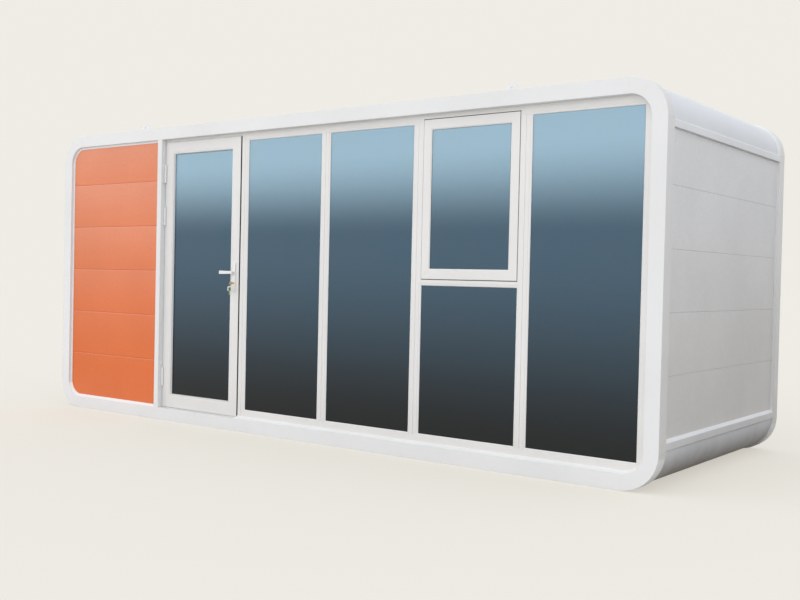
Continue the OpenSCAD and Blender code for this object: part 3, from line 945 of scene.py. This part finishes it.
@dataclass
class SillFlashing:
    """Sloped strip that sheds water from the foot of a wall to the edge of the front hoop."""

    high: float
    set_back: float = 0.004
    lip: float = 0.0012
    turn: float = 75.0

    def build(self, start: float, to_right: bool, back: float, name: str) -> None:
        """Lays the strip along the bottom beam and up into the hoop's rounded corner.

        Args:
            start: where it starts along X.
            to_right: whether it runs to the right-hand corner.
            back: plane of the wall's face.
            name: the new piece's name.
        """
        beam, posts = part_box("front_bottom_beam"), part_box("front_posts")
        front, foot = beam[0].y + self.set_back, beam[1].z
        corner = Vector((beam[1].x if to_right else beam[0].x, 0.0, posts[0].z))
        section = ((front, foot), (front, foot + self.lip), (back, foot + self.high), (back, foot))
        bm = bmesh.new()
        sweep = Sweep(bm, [Vector((start, y, z)) for y, z in section])
        sweep.run(Vector((corner.x - start, 0.0, 0.0)))
        sweep.turn(corner, math.radians(-self.turn if to_right else self.turn))
        sweep.close()
        piece(bm, name, Body.CABIN, BEAD_COAT)


@dataclass
class Walls:
    """Boards of the ends, the back and the orange front, with their rails, flashings and trims."""

    edge: float = 0.0015
    rail_edge: float = 0.003
    flashing_edge: float = 0.0012
    trim_edge: float = 0.0008
    flashing_high: float = 0.018

    def build(self) -> None:
        """Makes the walls."""
        eased_solid(
            "end_rails", "end_wall_rails", Body.CABIN, RAIL_PAINT, self.rail_edge, ROUND_STEPS
        )
        eased_solid(
            "end_sill_flashings", "end_wall_flashings", Body.CABIN, TRIM_PAINT,
            self.flashing_edge,
        )
        for node in ("left_end_boards", "right_end_boards", "back_wall_boards"):
            eased_solid(node, f"white_{node}", Body.CABIN, WHITE_BOARD, self.edge)
        node = "front_wall_boards"
        tops = self.board_tops(node)
        orange = replace(ORANGE_BOARD, board_top=tops[0], board_pitch=tops[1] - tops[0])
        eased_solid(node, "orange_front_boards", Body.CABIN, orange, self.edge)
        for node in ("front_wall_trim", "back_wall_trim"):
            eased_solid(node, f"edge_{node}", Body.CABIN, TRIM_PAINT, self.trim_edge)
        low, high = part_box("front_wall_trim")
        SillFlashing(self.flashing_high).build(high.x, False, low.y, "panel_sill_flashing")

    def board_tops(self, node: str) -> list[float]:
        """Lists the heights of the boards' upper edges, from the lowest up.

        Args:
            node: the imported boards.

        Returns:
            The heights in metres.
        """
        bm = solid_copy(node)
        tops = sorted({round(f.calc_center_median().z, 4) for f in bm.faces if f.normal.z > LEVEL})
        bm.free()
        return tops


def glaze(node: str) -> None:
    """Gives a pane that stays as it was packed its glass."""
    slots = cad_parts[node].data.materials
    slots.clear()
    slots.append(GLASS.material())


def node_rect(node: str) -> Rect:
    """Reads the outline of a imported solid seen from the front."""
    low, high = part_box(node)
    return Rect(low.x, high.x, low.z, high.z)


@dataclass
class Gasket:
    """Thin line that seals a pane to its bead."""

    finish: Finish
    width: float = 0.002
    proud: float = 0.0015

    def build(self, panes: Sequence[Rect], glass_y: float, name: str, body: Body) -> None:
        """Makes the gaskets of several panes as one piece.

        Args:
            panes: outlines of the panes.
            glass_y: front plane of the glass.
            name: the new piece's name.
            body: the body that carries it.
        """
        bm = bmesh.new()
        for pane in panes:
            mitred_frame(bm, pane, pane.inset(self.width), glass_y - self.proud, glass_y + self.proud)
        piece(bm, name, body, self.finish)


@dataclass
class SlopedBead:
    """Beads around panes that slope from their frame's step down to the glass."""

    width: float
    lap: float = 0.0004
    lip: float = 0.0012

    def build(
        self, panes: Sequence[Rect], front: float, glass_y: float, name: str, body: Body
    ) -> list[Rect]:
        """Makes the beads of several panes as one piece.

        Args:
            panes: outlines of the lights.
            front: plane where the slope starts.
            glass_y: front plane of the glass.
            name: the new piece's name.
            body: the body that carries it.

        Returns:
            Outlines of the glass that is left in view.
        """
        views = [pane.inset(self.width) for pane in panes]
        bm = bmesh.new()
        for pane, view in zip(panes, views):
            faces = mitred_frame(bm, pane.inset(-self.lap), view, front, glass_y)
            inner = {v for face in faces for v in face.verts if self.inside(v, pane)}
            bmesh.ops.translate(bm, verts=list(inner), vec=(0.0, glass_y - self.lip - front, 0.0))
        bmesh.ops.recalc_face_normals(bm, faces=bm.faces)
        piece(bm, name, body, BEAD_COAT)
        return views

    def inside(self, vert: BMVert, pane: Rect) -> bool:
        """Tells whether a point lies inside the light's outline."""
        return pane.x0 < vert.co.x < pane.x1 and pane.z0 < vert.co.z < pane.z1


@dataclass
class GlazedFront:
    """Post, glazing frame with its beads, gaskets and fixed glass of the front."""

    edge: float = 0.0012
    members: tuple[str, ...] = (
        "door_head", "door_mullion", "door_jamb_stops", "door_head_stop", "glazing_head",
        "glazing_sill", "glazing_mullions", "right_jamb", "transom",
    )
    step: float = 0.0015
    bead: float = 0.004
    gasket: float = 0.001
    flashing_set: float = 0.01
    flashing_high: float = 0.017
    post_edge: float = 0.003
    stop_seal: float = 0.006
    stop_side: float = 0.002
    stop_drop: float = 0.006
    stop_foot: float = 0.0005
    stop_deep: float = 0.008
    stop_edge: float = 0.0015
    strip_set: float = 0.004
    strip_deep: float = 0.016
    strip_clear: float = 0.0015
    threshold_high: float = 0.005
    threshold_seat: float = 0.001
    threshold_edge: float = 0.002

    def build(self) -> None:
        """Makes the frame and glazes it."""
        eased_solid(
            "door_post", "steel_door_post", Body.CABIN, HOOP_PAINT, self.post_edge, ROUND_STEPS
        )
        for node in self.members:
            eased_solid(node, f"frame_{node}", Body.CABIN, FRAME_COAT, self.edge)
        glaze("fixed_glass")
        glass_y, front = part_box("fixed_glass")[0].y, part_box("glazing_sill")[0].y + self.step
        views = SlopedBead(self.bead).build(self.lights(), front, glass_y, "fixed_light_beads", Body.CABIN)
        Gasket(SILICONE, self.gasket).build(views, glass_y, "fixed_light_gaskets", Body.CABIN)
        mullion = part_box("door_mullion")[0]
        flashing = SillFlashing(self.flashing_high, self.flashing_set)
        flashing.build(mullion.x, True, mullion.y, "front_sill_flashing")
        self.seal_stops()
        self.weather_strip()
        self.threshold()

    def lights(self) -> list[Rect]:
        """Lists the outlines of the fixed lights, read from the glass."""
        bm = solid_copy("fixed_glass")
        found: list[Rect] = []
        for face in bm.faces:
            if face.normal.y < -FACING:
                xs = [v.co.x for v in face.verts]
                zs = [v.co.z for v in face.verts]
                found.append(Rect(min(xs), max(xs), min(zs), max(zs)))
        bm.free()
        return found

    def seal_stops(self) -> None:
        """Adds the rubber seal that the closed door rests against."""
        leaf = node_rect("door_stiles")
        stop_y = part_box("door_jamb_stops")[0].y
        outer = leaf.inset(self.stop_side, foot=-self.stop_drop)
        inner = outer.inset(self.stop_seal, foot=self.stop_foot)
        bm = bmesh.new()
        mitred_frame(bm, outer, inner, stop_y - self.stop_deep, stop_y)
        ease(bm, sharp_edges(bm), self.stop_edge)
        piece(bm, "door_stop_seal", Body.CABIN, RUBBER)

    def weather_strip(self) -> None:
        """Fills the joint beside the hinges and the one over the door with a pale strip."""
        post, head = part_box("door_post")[1].x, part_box("door_head")[0].z
        low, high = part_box("door_stiles")
        front = low.y + self.strip_set
        back = front + self.strip_deep
        bm = bmesh.new()
        bar(bm, Vector((post, front, low.z)), Vector((low.x - self.strip_clear, back, head)))
        bar(bm, Vector((low.x, front, high.z + self.strip_clear)), Vector((high.x, back, head)))
        piece(bm, "door_weather_strip", Body.CABIN, PALE_SEAL)

    def threshold(self) -> None:
        """Lays the thin threshold strip below the door."""
        low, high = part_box("door_head")
        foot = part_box("front_bottom_beam")[1].z
        start = Vector((low.x, low.y, foot - self.threshold_seat))
        end = Vector((high.x, high.y, foot + self.threshold_high))
        bm = bmesh.new()
        bar(bm, start, end)
        upper = [e for e in bm.edges if all(v.co.z > foot for v in e.verts)]
        ease(bm, upper, self.threshold_edge)
        piece(bm, "door_threshold_strip", Body.CABIN, FRAME_COAT)


@dataclass
class GlazedLeaf:
    """A leaf with mitred corners, glass, a sloped bead and a gasket."""

    edge: float = 0.0015
    step: float = 0.002
    bead: float = 0.003

    def leaf(self, part: str, body: Body, seal: Finish) -> None:
        """Makes the leaf's frame and glazes it.

        Args:
            part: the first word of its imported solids.
            body: the body that carries it.
            seal: finish of its gasket.
        """
        stiles, rails, glass = f"{part}_stiles", f"{part}_rails", f"{part}_glass"
        for node in (stiles, rails):
            eased_solid(node, f"mitred_{node}", body, FRAME_COAT, self.edge)
        glaze(glass)
        glass_y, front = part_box(glass)[0].y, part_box(stiles)[0].y + self.step
        views = SlopedBead(self.bead).build([node_rect(glass)], front, glass_y, f"{part}_bead", body)
        Gasket(seal).build(views, glass_y, f"{part}_gasket", body)


@dataclass
class OpeningSash(GlazedLeaf):
    """The outward opening sash and its stays."""

    stay_edge: float = 0.0005
    seal_set: float = 0.006
    seal_depth: float = 0.012

    def build(self) -> None:
        """Makes the sash."""
        self.leaf("sash", Body.CABIN, SILICONE)
        eased_solid("sash_stays", "sash_friction_stays", Body.CABIN, STEEL, self.stay_edge)
        self.seal()

    def seal(self) -> None:
        """Fills the joint around the sash with a rubber seal behind its face."""
        outline = node_rect("sash_stiles")
        gap = outline.x0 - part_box("sash_stays")[0].x
        foot = outline.z0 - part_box("transom")[1].z
        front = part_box("glazing_mullions")[0].y + self.seal_set
        bm = bmesh.new()
        mitred_frame(bm, outline.inset(-gap, -foot, -foot), outline, front, front + self.seal_depth)
        piece(bm, "sash_joint_seal", Body.CABIN, SILICONE)


@dataclass
class Door(GlazedLeaf):
    """The glass door: leaf, hinges, back plates, lock and lever."""

    bead: float = 0.005
    knuckle_edge: float = 0.003
    rim_sides: int = 8
    washer_sides: int = 24
    washer_thick: float = 0.002
    washer_set: float = 0.001
    washer_clear: float = 0.0002
    plate_edge: float = 0.002
    cylinder_edge: float = 0.001
    edge_seal: float = 0.003
    seal_seat: float = 0.001
    seal_edge: float = 0.001
    seal_set: float = 0.002
    seal_depth: float = 0.03
    tip_reach: float = 0.012
    tip_edge: float = 0.003
    lever_edge: float = 0.0038

    def build(self) -> None:
        """Makes the door."""
        self.leaf("door", Body.DOOR, RUBBER)
        self.hinge("door_hinges", "hinge_door_halves", Body.DOOR)
        self.hinge("frame_hinges", "hinge_post_halves", Body.CABIN)
        self.washers_and_joint_shade()
        eased_solid(
            "handle_plates", "handle_back_plates", Body.DOOR, HARDWARE, self.plate_edge,
            ROUND_STEPS,
        )
        eased_solid(
            "lock_cylinder", "lock_brass_cylinder", Body.DOOR, BRASS, self.cylinder_edge
        )
        self.lever()
        self.seal()

    def hinge(self, node: str, name: str, body: Body) -> None:
        """Makes one half of the hinges, with knuckles that are rounded at their ends.

        Args:
            node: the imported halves.
            name: the new piece's name.
            body: the body that carries them.
        """
        bm = solid_copy(node)
        rounds = [f for f in bm.faces if abs(f.normal.z) > LEVEL and len(f.verts) > self.rim_sides]
        rims = {e for f in rounds for e in f.edges}
        ease(bm, sharp_edges(bm, lambda edge: edge in rims), self.knuckle_edge, ROUND_STEPS)
        piece(bm, name, body, HARDWARE, [node])

    def washers_and_joint_shade(self) -> None:
        """Adds the dark washers in the grooves between the knuckles, dark so that they also stand for the
        shade at the knuckle joints.
        """
        low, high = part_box("door_hinges")
        radius = (high.x - low.x) / 2
        halves = solid_copy("door_hinges")
        rim = radius - self.washer_set
        ends = [f for f in halves.faces if abs(f.normal.z) > LEVEL and f.calc_area() > 2 * radius ** 2]
        bm = bmesh.new()
        for end in ends:
            made = bmesh.ops.create_cone(
                bm, cap_ends=True, segments=self.washer_sides, radius1=rim, radius2=rim,
                depth=self.washer_thick,
            )
            lift = end.normal.z * (self.washer_thick / 2 + self.washer_clear)
            place = Vector((low.x + radius, low.y + radius, end.calc_center_median().z + lift))
            bmesh.ops.translate(bm, verts=made["verts"], vec=place)
        halves.free()
        # Dark washers that also stand for painted shade at the knuckle joints.
        piece(bm, "hinge_washers_and_joint_shade", Body.CABIN, RUBBER)

    def lever(self) -> None:
        """Makes the lever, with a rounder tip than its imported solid."""
        bm = solid_copy("lever_handle")
        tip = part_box("lever_handle")[0].x + self.tip_reach
        near_tip = [e for e in bm.edges if e.is_manifold and e.verts[0].co.x < tip]
        ease(bm, [e for e in near_tip if self.runs_across(e)], self.tip_edge, ROUND_STEPS)
        ease(bm, sharp_edges(bm), self.lever_edge, WIDE_STEPS)
        piece(bm, "lever_white_handle", Body.LEVER, HARDWARE, ["lever_handle"])

    def runs_across(self, edge: BMEdge) -> bool:
        """Tells whether an edge runs from front to back."""
        return abs(edge.verts[0].co.y - edge.verts[1].co.y) > FACING * edge.calc_length()

    def seal(self) -> None:
        """Adds the rubber strip on the leaf's free edge."""
        low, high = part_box("door_stiles")
        bm = bmesh.new()
        start = Vector((high.x - self.seal_seat, low.y + self.seal_set, low.z + self.seal_set))
        end = Vector((high.x + self.edge_seal, start.y + self.seal_depth, high.z - self.seal_set))
        bar(bm, start, end)
        ease(bm, bm.edges[:], self.seal_edge)
        piece(bm, "door_edge_seal", Body.DOOR, RUBBER)


@dataclass
class KeySet:
    """A key in the lock, with a split ring, a spare key and a plastic tag below it."""

    bow: float = 0.014
    bow_steps: int = 28
    head_share: float = 0.8
    eye_share: float = 0.5
    shank_share: float = 0.6
    spare_share: float = 0.7
    hole: float = 0.003
    thick: float = 0.0026
    shank: float = 0.013
    shank_seat: float = 0.002
    neck: float = 0.0035
    ring: float = 0.0135
    ring_steps: int = 32
    wire: float = 0.0011
    wire_sides: int = 10
    blade: float = 0.042
    spare_set: tuple[float, float] = (-0.012, 0.004)
    tag: tuple[float, float, float] = (0.028, 0.0032, 0.036)
    tag_set: float = -0.007
    tag_turn: float = 35.0
    tag_corner: float = 0.006
    insert_low: tuple[float, float] = (0.3, 0.04)
    insert_high: tuple[float, float] = (0.04, 0.2)
    insert_edge: float = 0.0004
    edge: float = 0.0005

    def build(self) -> None:
        """Makes the keys, the ring and the tag."""
        low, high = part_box("lock_cylinder")
        lock = Vector(((low.x + high.x) / 2, low.y, (low.z + high.z) / 2))
        head = lock + Vector((0.0, -self.shank - self.bow * self.head_share, 0.0))
        eye = head + Vector((0.0, -self.bow * self.eye_share, 0.0))
        foot = eye + Vector((0.0, 0.0, -2 * self.ring))
        keys = bmesh.new()
        self.bow_ring(keys, head, Vector((1, 0, 0)))
        half = Vector((self.thick / 2, 0.0, self.neck))
        start = head + Vector((0.0, self.bow * self.shank_share, 0.0))
        bar(keys, start - half, lock + Vector((0.0, self.shank_seat, 0.0)) + half)
        under = Vector((0.0, 0.0, -self.bow * self.spare_share))
        spare = foot + Vector((*self.spare_set, 0.0)) + under
        self.bow_ring(keys, spare, Vector((0, 1, 0)))
        side = Vector((self.neck, self.thick / 2, 0.0))
        end = spare + Vector((0.0, 0.0, -self.bow - self.blade))
        bar(keys, end - side, spare + under + side)
        ease(keys, sharp_edges(keys), self.edge)
        piece(keys, "lock_keys", Body.DOOR, BRASS)
        self.split_ring(eye + Vector((0.0, 0.0, -self.ring)))
        self.name_tag(foot)

    def bow_ring(self, bm: BMesh, centre: Vector, across: Vector) -> None:
        """Spins the flat round head of a key.

        Args:
            bm: the mesh to add to.
            centre: the head's centre.
            across: the direction that it is flat across.
        """
        up = Vector((0, 0, 1))
        corners = [
            centre + across * side * self.thick / 2 + up * radius
            for side, radius in ((-1, self.hole), (1, self.hole), (1, self.bow), (-1, self.bow))
        ]
        ring = [bm.verts.new(c) for c in corners]
        edges = [bm.edges.new((ring[i], ring[(i + 1) % 4])) for i in range(4)]
        bmesh.ops.spin(
            bm, geom=ring + edges, cent=centre, axis=across, angle=FULL_TURN, steps=self.bow_steps,
            use_merge=True,
        )
        bmesh.ops.recalc_face_normals(bm, faces=bm.faces)

    def split_ring(self, centre: Vector) -> None:
        """Spins the wire ring that holds the spare key and the tag.

        Args:
            centre: the ring's centre.
        """
        bm = bmesh.new()
        start = bmesh.ops.create_circle(bm, segments=self.wire_sides, radius=self.wire)["verts"]
        bmesh.ops.translate(bm, verts=start, vec=centre + Vector((self.ring, 0.0, 0.0)))
        bmesh.ops.spin(
            bm, geom=bm.verts[:] + bm.edges[:], cent=centre, axis=(0, 1, 0), angle=FULL_TURN,
            steps=self.ring_steps, use_merge=True,
        )
        bmesh.ops.recalc_face_normals(bm, faces=bm.faces)
        piece(bm, "lock_key_ring", Body.DOOR, STEEL)

    def name_tag(self, top: Vector) -> None:
        """Makes the plain tag: a pale case with a green insert in its lower half.

        Args:
            top: the point that it hangs from.
        """
        wide, deep, tall = self.tag
        low = top + Vector((self.tag_set - wide / 2, -deep / 2, -tall))
        high = low + Vector(self.tag)
        turn = Matrix.Rotation(math.radians(self.tag_turn), 3, "Z")
        case = bmesh.new()
        bar(case, low, high)
        corners = [e for e in case.edges if abs(e.verts[0].co.y - e.verts[1].co.y) > deep / 2]
        ease(case, corners, self.tag_corner, WIDE_STEPS)
        ease(case, sharp_edges(case), self.edge)
        bmesh.ops.rotate(case, verts=case.verts, cent=top, matrix=turn)
        piece(case, "lock_tag_case", Body.DOOR, HARDWARE)
        insert = bmesh.new()
        start = low + Vector((wide * self.insert_low[0], -self.edge, tall * self.insert_low[1]))
        end = high - Vector((wide * self.insert_high[0], -self.edge, tall * self.insert_high[1]))
        bar(insert, start, end)
        ease(insert, insert.edges[:], self.insert_edge, WELD_STEPS)
        bmesh.ops.rotate(insert, verts=insert.verts, cent=top, matrix=turn)
        piece(insert, "lock_tag_insert", Body.DOOR, TAG_GREEN)


@dataclass
class LiftingLugs:
    """Half-round lifting plates with weld beads on the top beams."""

    edge: float = 0.0012
    weld: float = 0.005
    weld_round: float = 0.0045

    def build(self) -> None:
        """Makes the lugs and their welds."""
        eased_solid("lifting_lugs", "lug_plates", Body.CABIN, HOOP_PAINT, self.edge)
        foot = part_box("front_top_beam")[1].z
        lug = solid_copy("lifting_lugs")
        under = [f for f in lug.faces if f.normal.z < -FACING]
        base = [f for f in under if abs(f.calc_center_median().z - foot) < NEAR]
        bm = bmesh.new()
        reach = Vector((self.weld, self.weld, 0.0))
        for face in base:
            xs = [v.co.x for v in face.verts]
            ys = [v.co.y for v in face.verts]
            start = Vector((min(xs), min(ys), foot - self.weld)) - reach
            end = Vector((max(xs), max(ys), foot + self.weld)) + reach
            bar(bm, start, end)
        lug.free()
        top = foot + self.weld
        upper = [e for e in bm.edges if all(abs(v.co.z - top) < MERGE for v in e.verts)]
        ease(bm, upper, self.weld_round, ROUND_STEPS)
        piece(bm, "lug_welds", Body.CABIN, HOOP_PAINT)


@dataclass
class Studio:
    """Pale floor and background, soft light and the camera at the photograph's place."""

    background: Colour = (0.863, 0.84, 0.784)
    sky_high: Colour = (0.78, 0.83, 0.9)
    sky_low: Colour = (1.16, 1.18, 1.22)
    sky_range: tuple[float, float] = (-0.1, 0.8)
    softbox: Colour = (0.62, 0.59, 0.57)
    softbox_from: tuple[float, float, float] = (-0.42, -0.8, 0.45)
    softbox_range: tuple[float, float] = (0.2, 1.0)
    floor_size: float = 400.0
    floor_glow: float = 0.6
    floor_tint: Colour = (1.079, 1.06, 1.025)
    floor_albedo: float = 0.34
    floor_bounce: Colour = (0.115, 0.095, 0.072)
    front_bounce: Colour = (0.61, 0.585, 0.55)
    front_from: float = -1.0
    front_to: float = -1.2
    camera_place: tuple[float, float, float] = (5.3172, -6.8186, 1.2569)
    heading: float = -37.124
    pitch: float = -1.238
    roll: float = -1.269
    focal_pixels: float = 1015.0

    def build(self) -> None:
        """Sets the stage."""
        bpy.context.scene.view_settings.view_transform = "Standard"
        self.camera()
        self.world()
        self.floor()

    def camera(self) -> None:
        """Places the camera where the photograph was taken."""
        data = bpy.data.cameras.new("photo_camera")
        data.sensor_width = SENSOR_WIDTH
        data.lens = self.focal_pixels / IMAGE_WIDTH * SENSOR_WIDTH
        camera = bpy.data.objects.new("photo_camera", data)
        level = Matrix.Rotation(QUARTER_TURN, 4, "X")
        turn = Matrix.Rotation(math.radians(-self.heading), 4, "Z")
        tilt = Matrix.Rotation(math.radians(self.pitch), 4, "X")
        lean = Matrix.Rotation(math.radians(-self.roll), 4, "Z")
        camera.matrix_world = Matrix.Translation(self.camera_place) @ turn @ level @ tilt @ lean
        bpy.context.scene.collection.objects.link(camera)
        bpy.context.scene.camera = camera

    def seen_directly(self, shader: Shader) -> Socket:
        """Builds the test for camera, glossy and transmission rays.

        Args:
            shader: the tree to add it to.

        Returns:
            A value of 1 for those rays.
        """
        path = shader.add("ShaderNodeLightPath")
        seen = shader.math("MAXIMUM", path.outputs["Is Camera Ray"], path.outputs["Is Glossy Ray"])
        return shader.math("MAXIMUM", seen, path.outputs["Is Transmission Ray"])

    def world(self) -> None:
        """Makes a soft sky for light and a plain pale background for the eye."""
        world = bpy.data.worlds.new("pale_studio")
        world.use_nodes = True
        bpy.context.scene.world = world
        shader = Shader(world.node_tree)
        world.node_tree.nodes.clear()
        outwards = shader.add("ShaderNodeTexCoord").outputs["Generated"]
        direction = shader.add("ShaderNodeSeparateXYZ")
        shader.join(outwards, direction.inputs[0])
        high = shader.ramp(direction.outputs["Z"], *self.sky_range)
        towards = shader.add("ShaderNodeVectorMath", operation="DOT_PRODUCT")
        shader.join(outwards, towards.inputs[0])
        towards.inputs[1].default_value = Vector(self.softbox_from).normalized()
        lobe = shader.ramp(towards.outputs["Value"], *self.softbox_range)
        glow = shader.add("ShaderNodeMix", data_type="RGBA", blend_type="ADD", label="softbox")
        shader.join(lobe, glow.inputs["Factor"])
        shader.join(shader.mix(high, rgba(self.sky_low), rgba(self.sky_high)), glow.inputs["A"])
        glow.inputs["B"].default_value = rgba(self.softbox)
        sky = shader.add("ShaderNodeBackground", label="light")
        shader.join(glow.outputs["Result"], sky.inputs["Color"])
        pale = shader.add("ShaderNodeBackground", label="background")
        pale.inputs["Color"].default_value = rgba(self.background)
        either = shader.add("ShaderNodeMixShader")
        shader.join(self.seen_directly(shader), either.inputs[0])
        shader.join(sky.outputs[0], either.inputs[1])
        shader.join(pale.outputs[0], either.inputs[2])
        shader.join(either.outputs[0], shader.add("ShaderNodeOutputWorld").inputs["Surface"])

    def floor(self) -> None:
        """Makes the pale floor, which keeps the cabin's shadow."""
        bm = bmesh.new()
        bmesh.ops.create_grid(bm, x_segments=1, y_segments=1, size=self.floor_size / 2)
        mesh = bpy.data.meshes.new("studio_floor")
        bm.to_mesh(mesh)
        bm.free()
        floor = bpy.data.objects.new("studio_floor", mesh)
        bpy.context.scene.collection.objects.link(floor)
        made = bpy.data.materials.new("studio_floor")
        made.use_nodes = True
        made.node_tree.nodes.clear()
        shader = Shader(made.node_tree)
        seen = self.seen_directly(shader)
        matt = shader.add("ShaderNodeBsdfDiffuse")
        shown = toned(self.background, self.floor_albedo)
        front = shader.ramp(shader.along("Y"), self.front_from, self.front_to)
        bounced = shader.mix(front, rgba(self.floor_bounce), rgba(self.front_bounce))
        shader.join(shader.mix(seen, bounced, shown), matt.inputs["Color"])
        glow = shader.add("ShaderNodeEmission")
        tinted = rgba(c * t for c, t in zip(self.background, self.floor_tint))
        glow.inputs["Color"].default_value = tinted
        shader.join(shader.math("MULTIPLY", seen, self.floor_glow), glow.inputs["Strength"])
        both = shader.add("ShaderNodeAddShader")
        shader.join(matt.outputs[0], both.inputs[0])
        shader.join(glow.outputs[0], both.inputs[1])
        shader.join(both.outputs[0], shader.add("ShaderNodeOutputMaterial").inputs["Surface"])
        mesh.materials.append(made)


def main() -> None:
    """Builds the stage and the cabin."""
    logging.basicConfig(level=logging.INFO, format="%(name)s: %(message)s")
    Studio().build()
    assemblies = (
        Hoops(), Shell(), Walls(), GlazedFront(), OpeningSash(), Door(), KeySet(), LiftingLugs(),
    )
    for assembly in assemblies:
        assembly.build()


if __name__ == "__main__":
    main()
